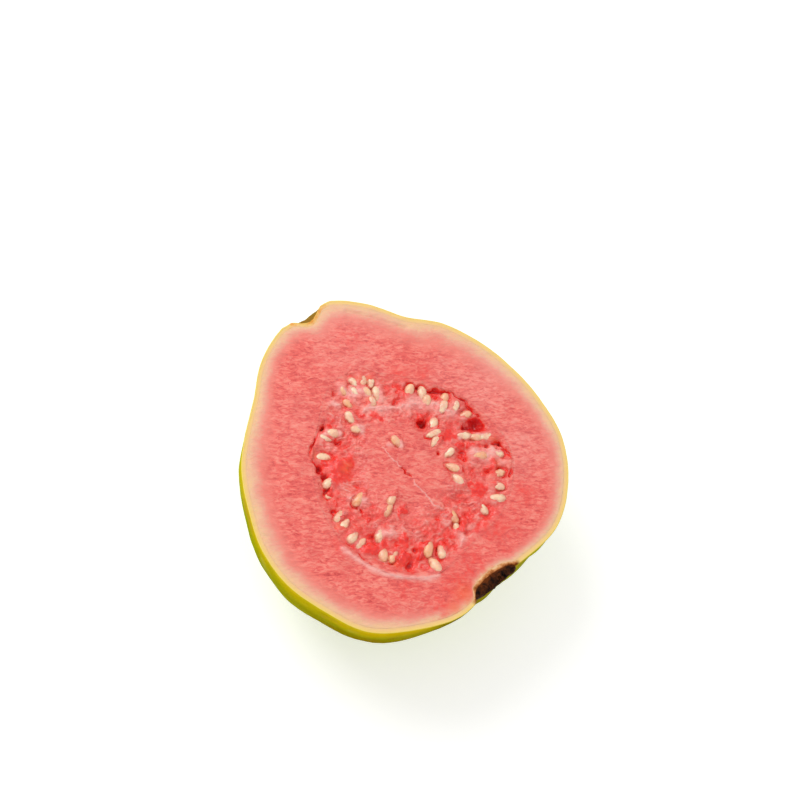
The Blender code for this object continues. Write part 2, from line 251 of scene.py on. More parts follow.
# Fine shape of the torn pulp
RING_SHARE = 0.36
RING_SLOPE = 0.22
RING_DROP = 0.22 * MM
JOIN_SHARE = 0.88
JOIN_SLOPE = 0.11
STRING_HEIGHT = 0.46 * MM
STRING_SIZE = 1.5 * MM
STRAND_SIZE = 0.8 * MM
STRING_STRETCH = (0.55, 1.0, 1.0)
LUMP_HEIGHT = 0.40 * MM
LUMP_SIZE = 3.4 * MM
GEL_DEPTH = 0.55 * MM
GEL_DOME = 0.45 * MM
GEL_LUMPS = 0.18 * MM
GEL_CLOT_SIZE = 1.3 * MM
FOLD_RISE = 0.05 * MM
FOLD_STRINGS = 0.25 * MM
HOLE_DEPTH = 1.3 * MM
LIP_RISE = 0.16 * MM
LIP_LEAN = 0.34 * MM
SLIT_DEPTH = 0.7 * MM
HIGHEST_PULP = 0.55 * MM
PULP_GAP = 0.3 * MM
PULP_WALL = 3.0 * MM
PULP_BOWL_SHARE = 0.985
PULP_LIP_SHARE = 1.003

# Noise that stirs places about so that spots turn ragged, in mm: reach, size, and its seed
STIRS = ((1.9, 2.8, 40.0), (0.9, 1.1, 60.0))

# How red each kind of place in the cut is, from which depth on, and over which depth it deepens
GEL_RED = 0.76
SEED_RED = 0.25
# painted shade: the slits beside the seeds are painted darker red
HOLE_RED = 0.8
SLIT_SHADOW_RED = 0.8
ROSY_RED = 0.34
LOW_RED = 0.9
LOW_DEPTH = 0.55 * MM
LOW_SLOPE = 1.3 * MM
CREVICE_RED = 0.9
CREVICE_SLOPE = 1.0 * MM
FLESH_CREVICE_SLOPE = 1.1 * MM

# Fine shape of the dried crown and its stamens
CALYX_WRINKLES = 28
CALYX_WRINKLE = 0.16 * MM
CALYX_CURL = 1.05 * MM
CALYX_RAGGED = 0.15 * MM
STAMENS = 26
STAMEN_REACHES = (0.05, 0.40)
STAMEN_LEAN = 0.5
STAMEN_HEIGHTS = (-0.5, -0.2)
STAMEN_LENGTHS = (1.0, 1.7)
STAMEN_RADII = (0.16 * MM, 0.08 * MM)

# Camera: a long lens that looks down on the face from the near, lower left of the image
LENS = 85.0
SENSOR = 36.0
CAMERA_DISTANCE = 434.4 * MM
CAMERA_TILT = math.radians(22.0)
NEAR_BEARING = math.radians(207.9)
IMAGE_ROLL = math.radians(25.0)
IMAGE_TURN = math.radians(37.1)
AIM = Vector((0.456, -5.139, 0.0)) * MM
AIM_RIGHT = 0.92 * MM
AIM_DOWN = 16.1 * MM

# Studio
FLOOR_HALF = 3.0
FLOOR_GLOW = 0.32
FLOOR_WHITE = 0.96
SKY_STRENGTH = 0.72


def srgb(red, green, blue):
    """Linear colour from 8-bit display values."""
    def linear(value):
        share = value / 255
        return share / 12.92 if share <= 0.04045 else ((share + 0.055) / 1.055) ** 2.4
    return (linear(red), linear(green), linear(blue), 1.0)


# Shape of the fruit

def ring_value(values, turn):
    """Value at a share of the turn, on a smooth closed curve through evenly spaced values."""
    ring = np.array(values)
    place = (np.asarray(turn) % 1.0) * len(ring)
    first = np.floor(place).astype(int)
    t = place - first
    a, b, c, d = (ring[(first + step) % len(ring)] for step in (-1, 0, 1, 2))
    return b + 0.5 * t * (c - a + t * (2 * a - 5 * b + 4 * c - d + t * (3 * (b - c) + d - a)))


def bump(distance, width):
    """Share of 1 at no distance that fades smoothly past the width."""
    return np.exp(-(distance / width) ** 2)


def ease(share):
    """Share of 0 to 1 that starts and ends gently."""
    share = np.clip(share, 0.0, 1.0)
    return share * share * (3 - 2 * share)


def blend(start, goal, share):
    return start + (goal - start) * share


def band(depth, start, rise, end, fall):
    """Share of 1 between two depths, eased in over the rise and out over the fall."""
    return ease((depth - start) / rise) * ease((end - depth) / fall)


def noise_at(points, size, seed):
    """Smooth noise of about -1 to 1 at each point, with bumps of the given size."""
    shift = Vector((seed, 1.7 * seed, -0.6 * seed))
    return np.array([noise.noise(Vector(point) / size + shift) for point in points])


def fractal_at(points, size, octaves, seed):
    """Noise summed over octaves, each with bumps half the size of the last."""
    total = np.zeros(len(points))
    for octave in range(octaves):
        total += noise_at(points, size / 2 ** octave, seed + 7.3 * octave) / 1.8 ** octave
    return total


def outline_radius(bearing):
    return ring_value(OUTLINE_RADII, bearing / FULL_TURN) * MM


def about_calyx(point):
    """Reach and turn of each point about the crown's axis."""
    x, z = point[:, 0] - CALYX_MIDDLE[0], point[:, 2]
    return np.hypot(x, z), np.arctan2(x, -z)


def fruit_radius(direction):
    """Radius of the skin along unit directions, as the solid has it."""
    from_stem = np.arccos(np.clip(direction[:, 1], -1.0, 1.0))
    right = outline_radius(math.pi / 2 - from_stem)
    left = outline_radius(math.pi / 2 + from_stem)
    sideways = np.maximum(np.hypot(direction[:, 0], direction[:, 2]), 1e-6)
    radius = blend(left, right, 0.5 + 0.5 * direction[:, 0] / sideways)
    below = np.maximum(0.0, -direction[:, 2])
    swelling = 4 * below ** 2 * (1 - below ** 2) * (1 - below) * (1 - direction[:, 1] ** 6)
    radius = radius * (1 + BELLY * swelling)
    point = direction * radius[:, None]
    from_scar = np.linalg.norm(point - STEM_SCAR, axis=1)
    radius = radius - STEM_SCAR_DEPTH * bump(from_scar, STEM_SCAR_WIDTH)
    reach, turn = about_calyx(point)
    fade = bump(reach, FURROW_REACH) * (1 - bump(reach, CALYX_RADIUS))
    shape = FURROW_HEIGHT * fade * np.cos(FURROWS * turn) - BASIN_DEPTH * bump(reach, BASIN_WIDTH)
    return radius + (direction[:, 1] < 0) * shape


def crown_radius(turn):
    """Reach of the crown at a turn round its axis: far on the five pointed sepals."""
    lobes = CALYX_LOBES * np.asarray(turn) / FULL_TURN
    from_tip = 2 * np.abs(lobes - np.round(lobes))
    return CALYX_RADIUS * (1.04 - CALYX_NOTCH * from_tip ** 0.8)


def skin_radius(direction):
    """Radius of the dressed skin: the solid's, with lumps, pores and the crown's seat."""
    radius = fruit_radius(direction)
    point = direction * radius[:, None]
    low = ease(-direction[:, 2] / 0.3)
    lumps = 0.5 + 0.5 * np.clip(fractal_at(point, SKIN_LUMP_SIZE, octaves=3, seed=3.0), -1, 1)
    pores = 0.5 + 0.5 * np.clip(noise_at(point, SKIN_PORE_SIZE, seed=9.0), -1, 1)
    radius = radius - SKIN_MARGIN - SKIN_LUMPS * ((0.4 + 0.8 * low) * lumps + 0.15 * pores)
    torn = bump(np.linalg.norm(point - STEM_SCAR, axis=1), 1.5 * STEM_SCAR_WIDTH)
    rags = fractal_at(point, SCAR_RAG_SIZE, octaves=2, seed=14.0)
    radius = radius - SCAR_RAGGED * torn * np.clip(0.5 + rags, 0, 1)
    reach, turn = about_calyx(point)
    crown = crown_radius(turn) + SEAT_GAP
    bowl = np.sqrt(np.clip(1 - (reach / crown) ** 2, 0, 1))
    blossom = direction[:, 1] < -0.5
    tuck = CALYX_TUCK * bump(reach, CALYX_TUCK_WIDTH) * ease(-direction[:, 2] / 0.15)
    radius = radius - blossom * tuck
    seat = (CALYX_MIDDLE[1] + SEAT_DEPTH * bowl) / np.where(blossom, direction[:, 1], -1.0)
    share = blossom * ease((crown + SEAT_SLOPE - reach) / SEAT_SLOPE)
    return blend(radius, np.minimum(radius, seat), share)


def directions(bearing, below):
    """Unit directions at bearings, an angle below the face."""
    below = np.broadcast_to(below, bearing.shape)
    return np.stack((np.cos(bearing) * np.cos(below), np.sin(bearing) * np.cos(below),
                     -np.sin(below)), axis=1)


def dome_ring(bearing, below, inset):
    """Ring of points an inset inside the skin, flattened where the half rests."""
    direction = directions(bearing, below)
    ring = direction * (skin_radius(direction) - inset)[:, None]
    ring[:, 2] = np.maximum(ring[:, 2], inset - REST_DEPTH)
    return ring


def pulp_radius(bearing):
    return ring_value(PULP_RADII, bearing / FULL_TURN) * MM


def pulp_place(bearing, share):
    """Points of the face at a share of the way from the pulp's middle to its edge."""
    radius = pulp_radius(bearing) * share
    return PULP_MIDDLE + np.stack((np.cos(bearing) * radius, np.sin(bearing) * radius,
                                   np.zeros_like(bearing)), axis=1)


def pulp_share(place):
    offset = place - PULP_MIDDLE
    bearing = np.arctan2(offset[:, 1], offset[:, 0])
    return np.hypot(offset[:, 0], offset[:, 1]) / pulp_radius(bearing)


def distance_to_spot(place, x, y):
    return np.hypot(place[:, 0] - x * MM, place[:, 1] - y * MM)


def solid_relief(place):
    """Height of the cut pulp as the solid has it."""
    height = -PULP_VALLEY_DEPTH * ease((pulp_share(place) - CORE_SHARE) / CORE_SLOPE)
    for x, y, width, depth in RECESSES:
        height = height - depth * MM * bump(distance_to_spot(place, x, y), width * MM)
    return height


def distance_to_path(place, points):
    """Distance on the face from each place to the nearest stretch of a path given in mm."""
    nearest = np.full(len(place), 1.0)
    for start, stop in zip(points, points[1:]):
        origin = np.array(start) * MM
        along = np.array(stop) * MM - origin
        offset = place[:, :2] - origin
        share = np.clip(offset @ along / (along @ along), 0, 1)
        nearest = np.minimum(nearest, np.linalg.norm(offset - share[:, None] * along, axis=1))
    return nearest


def crevice_depth(place):
    """How deep the torn crevices are at each place, ragged and closed here and there."""
    ragged = 1 + 0.5 * noise_at(place, 1.3 * MM, seed=21.0)
    opening = ease(0.75 + 1.1 * noise_at(place, 3.2 * MM, seed=31.0))
    shifted = blend(place, stirred(place), 0.45)
    depth = np.zeros(len(place))
    for deep, width, points in CREVICES:
        near = bump(distance_to_path(shifted, points), width * MM * ragged)
        depth = np.maximum(depth, deep * MM * near)
    return depth * opening


def across_image(place, stretch):
    """Places turned so that X runs across the image, and stretched."""
    return place @ np.array(Matrix.Rotation(IMAGE_TURN, 3, "Z")).T * stretch


def cut_height(place):
    """The knife's cut: flat but for fine fibres that run across the image, never above the face."""
    fibres = fractal_at(across_image(place, FIBRE_STRETCH), FIBRE_SIZE, octaves=2, seed=2.0)
    waves = noise_at(place, WAVE_SIZE, seed=4.0)
    fold = bump(distance_to_path(place, SHOULDER_FOLD), SHOULDER_FOLD_WIDTH)
    relief = FIBRE_HEIGHT * np.clip(fibres, -1, 1) + WAVE_HEIGHT * waves
    return -(CUT_DROP + relief + SHOULDER_FOLD_DEPTH * fold)


def spotted(place, spots):
    """Share of 0 to 1 that each place has of the nearest of some soft round spots, given in mm."""
    share = np.zeros(len(place))
    for x, y, radius in spots:
        share = np.maximum(share, bump(distance_to_spot(place, x, y), radius * MM))
    return share


def edge_fold(place):
    """Share of the pale fold that lies on the pulp's edge, thicker in some places than in others; its
    paleness is partly a painted highlight.
    """
    thick = 1 + 0.45 * noise_at(place, 2.6 * MM, seed=33.0)
    thick += 0.25 * noise_at(place, 0.9 * MM, seed=35.0)
    return bump(distance_to_path(place, EDGE_FOLD), EDGE_FOLD_WIDTH * thick)


def stirred(place):
    """Places shifted about by noise, so that a round spot drawn on them turns ragged."""
    moved = place.copy()
    for axis in (0, 1):
        for reach, size, seed in STIRS:
            moved[:, axis] += reach * MM * noise_at(place, size * MM, seed + 9 * axis)
    return moved


def seed_places():
    """Place, heading and size of each seed: along the rows, jittered, its point to the core."""
    draw = random.Random(RANDOM_SEED)
    seeds = []
    for first_x, first_y, last_x, last_y, count in SEED_ROWS:
        for step in range(count):
            share = step / max(1, count - 1)
            x = blend(first_x, last_x, share) * MM + draw.uniform(-1, 1) * SEED_JITTER
            y = blend(first_y, last_y, share) * MM + draw.uniform(-1, 1) * SEED_JITTER
            offset = np.array((x, y, 0.0)) - PULP_MIDDLE
            bearing = math.atan2(offset[1], offset[0])
            furthest = float(pulp_radius(bearing)) - SEED_EDGE_MARGIN
            reach = math.hypot(offset[0], offset[1])
            place = PULP_MIDDLE + offset * min(1.0, furthest / reach)
            place[2] = solid_relief(place[None, :])[0] + SEED_LIFT
            heading = bearing + draw.uniform(-1, 1) * SEED_TURN
            seeds.append((place, heading, draw.uniform(*SEED_SIZES)))
    return seeds


SEEDS = seed_places()


def seed_frame(place, seed, heading, size):
    """Places about a seed: distance in units of its half length and width, and bearing."""
    offset = place - seed
    along = offset[:, 0] * math.cos(heading) + offset[:, 1] * math.sin(heading)
    across = -offset[:, 0] * math.sin(heading) + offset[:, 1] * math.cos(heading)
    narrow = 1 - 0.5 * SEED_TAPER * (1 - np.clip(2 * along / (SEED_LENGTH * size), -1, 1))
    distance = np.hypot(2 * along / (SEED_LENGTH * size), 2 * across / (SEED_WIDTH * size * narrow))
    return distance, np.arctan2(across, along)


def pulp_relief(place):
    """Height of the dressed pulp, with how pale, how red and how amber each point is; the pale is partly
    painted highlight, and the red holds painted shade in the slits by the seeds.
    """
    share = pulp_share(place)
    ring = ease((share - RING_SHARE) / RING_SLOPE)
    joined = ease((share - JOIN_SHARE) / JOIN_SLOPE)
    crease = crevice_depth(place)
    ragged = stirred(place)
    half_ragged = blend(place, ragged, 0.5)

    # Strings and lumps of the torn ring, the raised strings painted pale, partly as membrane and partly
    # as a painted highlight
    strings = 1 - 2 * np.abs(noise_at(across_image(place, STRING_STRETCH), STRING_SIZE, seed=5.0))
    strings -= np.abs(noise_at(place, STRAND_SIZE, seed=6.0))
    lumps = fractal_at(place, LUMP_SIZE, octaves=3, seed=8.0)
    height = solid_relief(place) + ring * (STRING_HEIGHT * strings + LUMP_HEIGHT * lumps - RING_DROP)
    pale = 0.50 * ring * ease((strings - 0.40) / 0.45) * ease(0.35 + lumps)

    # Smooth domes of gel
    gel = np.zeros(len(place))
    for x, y, radius in GELS:
        distance = distance_to_spot(ragged, x, y) / (radius * MM)
        inside = ease((1.55 - distance) / 1.15)
        dome = GEL_DOME * ease(1 - distance / 1.5) - GEL_DEPTH + GEL_LUMPS * lumps
        height = blend(height, dome, inside)
        gel = np.maximum(gel, inside)
    gel = gel * np.clip(0.85 + 0.6 * fractal_at(place, GEL_CLOT_SIZE, octaves=2, seed=27.0), 0, 1)
    pale = pale * (1 - gel)

    # Pale folds, partly a painted highlight, and the join with the flesh
    for width, points in FOLDS:
        near = bump(distance_to_path(half_ragged, points), width * MM * (1 + 0.3 * lumps))
        height = blend(height, FOLD_RISE + FOLD_STRINGS * strings, near)
        pale = np.maximum(pale, near * (0.75 + 0.25 * strings))
        gel = gel * (1 - near)
    edge = edge_fold(place)
    cut = cut_height(place)
    height = blend(height, cut, joined)
    height = blend(height, cut + EDGE_FOLD_RISE, edge)
    pale = np.maximum(pale * (1 - joined), EDGE_FOLD_PALE_AND_HIGHLIGHT * edge)
    gel = gel * (1 - joined)
    hole = spotted(half_ragged, HOLES)
    height = height - HOLE_DEPTH * hole - crease

    # Pulp wrapped round each seed: a lip on one side and a slit on the other, with painted shade in the
    # slit
    # painted shade in the slit beside each seed, carried in the red
    shadow = np.zeros(len(place))
    draw = random.Random(RANDOM_SEED + 2)
    for seed, heading, size in SEEDS:
        distance, bearing = seed_frame(place, seed, heading, size)
        side = np.cos(bearing - draw.uniform(0, FULL_TURN))
        lip = seed[2] + LIP_RISE + LIP_LEAN * side
        wrap = np.where(distance < 1.0, 1.0, bump(distance - 1.0, 0.42))
        height = blend(height, lip, wrap * (0.6 + 0.4 * side))
        slit = draw.uniform(0.15, 0.9) * bump(distance - 1.12, 0.17) * ease(0.2 - 1.4 * side)
        height = height - SLIT_DEPTH * slit
        shadow = np.maximum(shadow, slit)
        gel = np.maximum(gel, SEED_RED * bump(np.maximum(distance - 1, 0), 0.45))
        pale = pale * (1 - 0.6 * slit)

    low = ease((-height - LOW_DEPTH) / LOW_SLOPE)
    rosy = ROSY_RED * ring * (1 - joined) * ease(0.62 - 1.1 * lumps)
    rosy = rosy + FLUSH_RED * spotted(place, FLUSHES)
    red = np.maximum.reduce([GEL_RED * gel, LOW_RED * low, HOLE_RED * hole, SLIT_SHADOW_RED * shadow,
                             CREVICE_RED * ease(crease / CREVICE_SLOPE), rosy])
    height = np.minimum(height, HIGHEST_PULP)
    amber = spotted(ragged, AMBERS) * ring
    return height, np.clip(pale, 0, 1), np.clip(red * (1 - 0.6 * pale), 0, 1), amber


# Meshes

def sweep(name, first, rings, last):
    """A closed body swept through rings of points, from one pole to the other."""
    sides = len(rings[0])
    count = len(rings)
    points = np.concatenate([np.array(first)[None, :], *rings, np.array(last)[None, :]])
    around = np.arange(sides)
    after = (around + 1) % sides
    faces = [(0, 1 + b, 1 + a) for a, b in zip(around, after)]
    for ring in range(count - 1):
        low = 1 + ring * sides
        high = low + sides
        faces += [(low + a, low + b, high + b, high + a) for a, b in zip(around, after)]
    top = 1 + (count - 1) * sides
    pole = 1 + count * sides
    faces += [(top + a, top + b, pole) for a, b in zip(around, after)]
    mesh = bpy.data.meshes.new(name)
    mesh.from_pydata(points.tolist(), [], faces)
    mesh.shade_smooth()
    return mesh


def show(thing):
    bpy.context.scene.collection.objects.link(thing)


def add_values(mesh, name, values):
    """Keep one value for each point of a mesh, for its material to read."""
    attribute = mesh.attributes.new(name, "FLOAT", "POINT")
    attribute.data.foreach_set("value", np.asarray(values, dtype=np.float32))


def add_piece(name, mesh, material, slot, *nodes):
    """Put a finished mesh in place of CAD nodes."""
    mesh.materials.append(material)
    piece = bpy.data.objects.new(name, mesh)
    piece.location = FACE_MIDDLE
    show(piece)
    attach(piece, "root")
    if nodes:
        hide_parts(*nodes)


def rind_mesh():
    """The green skin: outer dome, rounded cut edge, cut band and inner side."""
    bearing = np.linspace(0, FULL_TURN, SKIN_SIDES, endpoint=False)
    rings = [dome_ring(bearing, math.pi / 2 * (1 - step / SKIN_RINGS), 0.0)
             for step in range(1, SKIN_RINGS)]
    level = directions(bearing, 0.0)
    rim = skin_radius(level)
    for turn in (0.0, math.pi / 6, math.pi / 3, math.pi / 2):
        ring = level * (rim - EDGE_ROUND * (1 - math.cos(turn)))[:, None]
        ring[:, 2] = -EDGE_ROUND * (1 - math.sin(turn)) - RIND_DROP
        rings.append(ring)
    cut_from = len(rings) - 3
    for inset in np.linspace(EDGE_ROUND, RIND_THICKNESS, CUT_BAND_RINGS)[1:]:
        ring = level * (rim - inset)[:, None]
        ring[:, 2] = cut_height(ring) - RIND_DROP
        rings.append(ring)
    cut_to = len(rings)
    for step in range(1, INNER_RINGS):
        rings.append(dome_ring(bearing, math.pi / 2 * step / INNER_RINGS, RIND_THICKNESS))
    bottom = (0.0, 0.0, -REST_DEPTH)
    mesh = sweep("rind_fine", bottom, rings, (0.0, 0.0, RIND_THICKNESS - REST_DEPTH))
    depth = np.zeros((len(rings), SKIN_SIDES))
    for index in range(cut_from, len(rings)):
        depth[index] = min(1.0, (index - cut_from + 1) / (cut_to - cut_from))
    add_values(mesh, "cut_depth", np.concatenate(([0.0], depth.ravel(), [1.0])))
    points = np.array([vertex.co for vertex in mesh.vertices])
    from_calyx, turn = about_calyx(points)
    from_calyx += STEM_SIDE_OFFSET * (points[:, 1] > 0)
    add_values(mesh, "from_calyx", from_calyx / MM)
    fade = bump(from_calyx, 1.4 * FURROW_REACH) * ease(from_calyx / CALYX_RADIUS - 0.4)
    add_values(mesh, "furrow", fade * (0.5 - 0.5 * np.cos(FURROWS * turn)))
    add_values(mesh, "from_scar", np.linalg.norm(points - STEM_SCAR, axis=1) / MM)
    bearings = np.arctan2(points[:, 1], points[:, 0]) % FULL_TURN
    around = (bearings - SHADED_BEARING + math.pi) % FULL_TURN - math.pi
    add_values(mesh, "warm", 0.35 + 0.65 * bump(around, WARM_WIDTH))
    low = -points[:, 2] / MM
    # painted shade: share of darkening beside the calyx, just below the cut
    add_values(mesh, "dusk", bump(bearings - CALYX_SIDE_SHADE_BEARING, CALYX_SIDE_SHADE_WIDTH) * band(low, *CALYX_SIDE_SHADE_BAND))
    # painted shade: share of darkening for the skin low on the near side
    add_values(mesh, "shade", bump(around, SHADED_WIDTH) * band(low, *SHADED_BAND))
    return mesh


def flesh_mesh():
    """The pink wall: outer dome, cut face and the seed cavity."""
    bearing = np.linspace(0, FULL_TURN, FLESH_SIDES, endpoint=False)
    inset = RIND_THICKNESS - OVERLAP
    rings = [dome_ring(bearing, math.pi / 2 * (1 - step / INNER_RINGS), RIND_THICKNESS + FLESH_GAP)
             for step in range(1, INNER_RINGS)]
    level = directions(bearing, 0.0)
    outer = level * (skin_radius(level) - inset)[:, None]
    inner = pulp_place(bearing, 1.0)
    face_from = len(rings)
    wide = np.maximum(ring_value(PALE_WIDTHS, bearing / FULL_TURN), NARROWEST_PALE) * MM
    from_rim = []
    for share in np.linspace(0, 1, FLESH_RINGS):
        ring = blend(outer, inner, share)
        ring[:, 2] = cut_height(ring) - crevice_depth(ring) + EDGE_FOLD_RISE * edge_fold(ring)
        rings.append(ring)
        from_rim.append(np.linalg.norm(ring - outer, axis=1) / wide)
    face = np.concatenate(rings[face_from:])
    red = np.maximum(ease(crevice_depth(face) / FLESH_CREVICE_SLOPE),
                     FLUSH_RED * spotted(face, FLUSHES))
    pale = EDGE_FOLD_PALE_AND_HIGHLIGHT * edge_fold(face)
    for x, y, radius, share in PALE_PATCHES:
        pale = np.maximum(pale, share * bump(distance_to_spot(face, x, y), radius * MM))
    for step in range(1, INNER_RINGS):
        down = math.pi / 2 * step / INNER_RINGS
        ring = pulp_place(bearing, math.cos(down))
        ring[:, 2] = -PULP_DEPTH * math.sin(down)
        rings.append(ring)
    first = (0.0, 0.0, RIND_THICKNESS + FLESH_GAP - REST_DEPTH)
    mesh = sweep("flesh_fine", first, rings, tuple(PULP_MIDDLE - np.array((0, 0, PULP_DEPTH))))
    before = np.zeros(1 + face_from * FLESH_SIDES)
    after = np.ones((INNER_RINGS - 1) * FLESH_SIDES + 1)
    for name, values, beyond in (("from_rim", np.concatenate(from_rim), FAR_FROM_RIM),
                                 ("red", red, 0.5), ("pale", pale, 0.0),
                                 ("amber", spotted(face, AMBERS), 0.0)):
        add_values(mesh, name, np.concatenate((before, values, beyond * after)))
    return mesh


def pulp_mesh():
    """The seed pulp: a bowl below and the torn, seeded cut above."""
    bearing = np.linspace(0, FULL_TURN, PULP_SIDES, endpoint=False)
    depth = PULP_DEPTH - PULP_GAP
    rings = []
    for step in range(1, INNER_RINGS):
        down = math.pi / 2 * (1 - step / INNER_RINGS)
        ring = pulp_place(bearing, PULP_BOWL_SHARE * math.cos(down))
        ring[:, 2] = -PULP_WALL - (depth - PULP_WALL) * math.sin(down)
        rings.append(ring)
    face_from = len(rings)
    face = np.concatenate([pulp_place(bearing, PULP_LIP_SHARE * (1 - step / PULP_RINGS))
                           for step in range(PULP_RINGS)])
    height, pale, red, amber = pulp_relief(face)
    face[:, 2] = height
    rings += list(face.reshape(PULP_RINGS, PULP_SIDES, 3))
    middle = PULP_MIDDLE.copy()
    middle[2] = face[-1, 2]
    bottom = tuple(PULP_MIDDLE - np.array((0, 0, depth)))
    mesh = sweep("pulp_fine", bottom, rings, tuple(middle))
    below = np.zeros(1 + face_from * PULP_SIDES)
    for name, values in (("pale", pale), ("red", red), ("amber", amber)):
        add_values(mesh, name, np.concatenate((below, values, values[-1:])))
    add_values(mesh, "from_rim", np.full(len(mesh.vertices), FAR_FROM_RIM))
    return mesh


def seeds_mesh():
    """Every seed in one mesh: drops with a little unevenness, each a closed body."""
    drop = bmesh.new()
    bmesh.ops.create_uvsphere(drop, u_segments=SEED_SIDES, v_segments=SEED_RINGS, radius=0.5,
                              matrix=Matrix.Rotation(math.pi / 2, 4, "Y"))
    shape = np.array([vert.co for vert in drop.verts])
    faces = [[vert.index for vert in face.verts] for face in drop.faces]
    drop.free()
    draw = random.Random(RANDOM_SEED + 1)
    points, polygons, tints, underside_shades = [], [], [], []
    for place, heading, size in SEEDS:
        size *= draw.uniform(*SEED_TRIMS)
        narrow = 1 - SEED_TAPER * (0.5 - shape[:, 0])
        body = np.stack((shape[:, 0] * SEED_LENGTH, shape[:, 1] * SEED_WIDTH * narrow,
                         shape[:, 2] * SEED_HEIGHT * narrow), axis=1)
        bend = draw.uniform(-SEED_BEND, SEED_BEND)
        body[:, 1] += bend * body[:, 0] ** 2 / (0.5 * SEED_LENGTH)
        body *= 1 + SEED_UNEVEN * noise_at(body, SEED_UNEVEN_SIZE, draw.uniform(0, 50))[:, None]
        turn = Matrix.Rotation(heading, 3, "Z") @ Matrix.Rotation(draw.uniform(*SEED_TILTS), 3, "Y")
        body = body * size @ np.array(turn).T + place
        body[:, 2] -= SEED_SINK
        polygons += [[index + len(points) * len(shape) for index in face] for face in faces]
        points.append(body)
        tints += [draw.random()] * len(shape)
        # share of painted shade, growing towards the base of each seed
        underside_shades.append(0.5 - body[:, 2] / (SEED_HEIGHT * size) + place[2] / (SEED_HEIGHT * size))
    mesh = bpy.data.meshes.new("seeds")
    mesh.from_pydata(np.concatenate(points).tolist(), [], polygons)
    mesh.shade_smooth()
    add_values(mesh, "tint", tints)
    add_values(mesh, "foot", np.concatenate(underside_shades))
    return mesh


def calyx_mesh():
    """The dried crown: a wrinkled cup drawn out into curled, pointed sepals, cut in half."""
    bm = bmesh.new()
    bmesh.ops.create_uvsphere(bm, u_segments=CALYX_SIDES, v_segments=CALYX_RINGS, radius=1.0,
                              matrix=Matrix.Rotation(-math.pi / 2, 4, "X"))
    for vert in bm.verts:
        spread = math.hypot(vert.co.x, vert.co.z)
        turn = math.atan2(vert.co.x, -vert.co.z)
        around = Vector((2.4 * math.cos(turn), 2.4 * math.sin(turn), 0.0))
        crumple = noise.noise(around + Vector((0, 0, 1.6 * spread)))
        ragged = noise.noise(3.2 * around + Vector((0, 0, 2.5 * spread)))
        radius = float(crown_radius(turn)) * (1 + 0.05 * crumple + 0.03 * ragged)
        lobe = 1 - (1 - radius / CALYX_RADIUS) / CALYX_NOTCH
        height = CALYX_DEPTH * vert.co.y * (0.90 + 0.16 * ragged)
        if vert.co.y < 0:
            wrinkle = math.cos(CALYX_WRINKLES * turn + 4 * crumple)
            curl = (0.35 + 0.65 * lobe) * spread ** 2.2 * (1.22 - spread ** 5)
            height = -CALYX_CURL * curl - CALYX_WRINKLE * wrinkle * spread * (1 - spread)
            height -= CALYX_RAGGED * ragged * spread
            height -= CALYX_MOUND * (1 - spread ** 2) * (1 + 0.4 * ragged)
        vert.co = Vector((vert.co.x * radius, height, vert.co.z * radius))
    draw = random.Random(RANDOM_SEED + 3)
    for _ in range(STAMENS):
        turn = draw.uniform(-math.pi / 2, math.pi / 2)
        reach = CALYX_RADIUS * draw.uniform(*STAMEN_REACHES)
        lean = Matrix.Rotation(math.pi / 2 + draw.uniform(-STAMEN_LEAN, STAMEN_LEAN), 4, "X")
        lean = lean @ Matrix.Rotation(draw.uniform(-STAMEN_LEAN, STAMEN_LEAN), 4, "Y")
        height = draw.uniform(*STAMEN_HEIGHTS) * MM
        spot = Vector((reach * math.sin(turn), height, -reach * math.cos(turn)))
        bmesh.ops.create_cone(bm, segments=6, cap_ends=True, radius1=STAMEN_RADII[0],
                              radius2=STAMEN_RADII[1], depth=draw.uniform(*STAMEN_LENGTHS) * MM,
                              matrix=Matrix.Translation(spot) @ lean)
    bmesh.ops.translate(bm, verts=bm.verts, vec=Vector(CALYX_MIDDLE))
    geometry = bm.verts[:] + bm.edges[:] + bm.faces[:]
    bmesh.ops.bisect_plane(bm, geom=geometry, dist=1e-7, plane_co=(0, 0, -0.05 * MM),
                           plane_no=(0, 0, 1), clear_outer=True)
    bmesh.ops.holes_fill(bm, edges=[edge for edge in bm.edges if edge.is_boundary], sides=0)
    bmesh.ops.triangulate(bm, faces=[face for face in bm.faces if len(face.verts) > 4])
    bmesh.ops.recalc_face_normals(bm, faces=bm.faces)
    mesh = bpy.data.meshes.new("calyx_fine")
    bm.to_mesh(mesh)
    bm.free()
    mesh.shade_smooth()
    mesh.set_sharp_from_angle(angle=math.radians(50))
    return mesh


# Materials

NOISE_RANGE = (0.3, 0.7)


